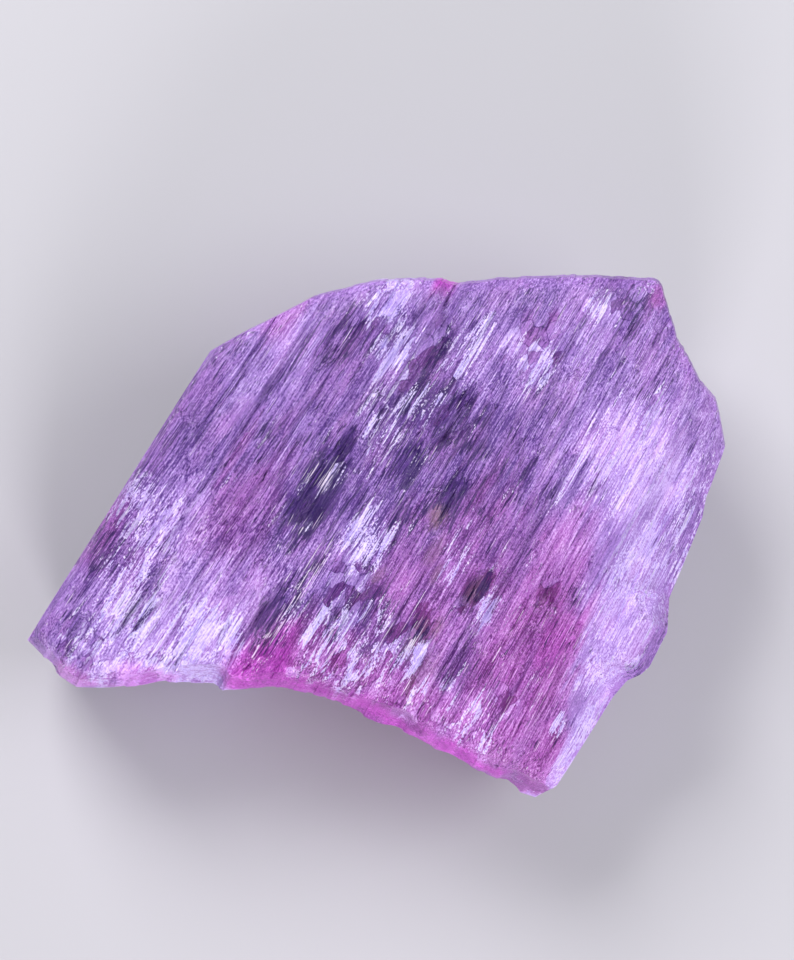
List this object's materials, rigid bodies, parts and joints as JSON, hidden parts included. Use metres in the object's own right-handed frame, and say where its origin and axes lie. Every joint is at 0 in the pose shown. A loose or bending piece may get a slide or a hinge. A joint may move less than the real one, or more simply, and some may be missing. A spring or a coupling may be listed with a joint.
{
  "type": "kunzite crystal",
  "caption": "Stout striated blade of translucent pink-violet crystal, etched along its length, broken off at one end and lying on its flat back.",
  "frame": {"origin": "centre of the crystal's outline seen from above, at the height of the surface its flat back rests on", "axes": "+Y along the grooves towards the natural end, +X across the blade towards the side with the ledge, +Z out of the striated face"},
  "size_m": [0.046, 0.0558, 0.016],
  "materials": {
    "violet_spodumene": "silky, striated and etched natural faces with glassy spots, translucent violet-pink with bluish-white frosting"
  },
  "bodies": {
    "root": {"kunzite_crystal": "violet_spodumene"}
  },
  "joints": []
}
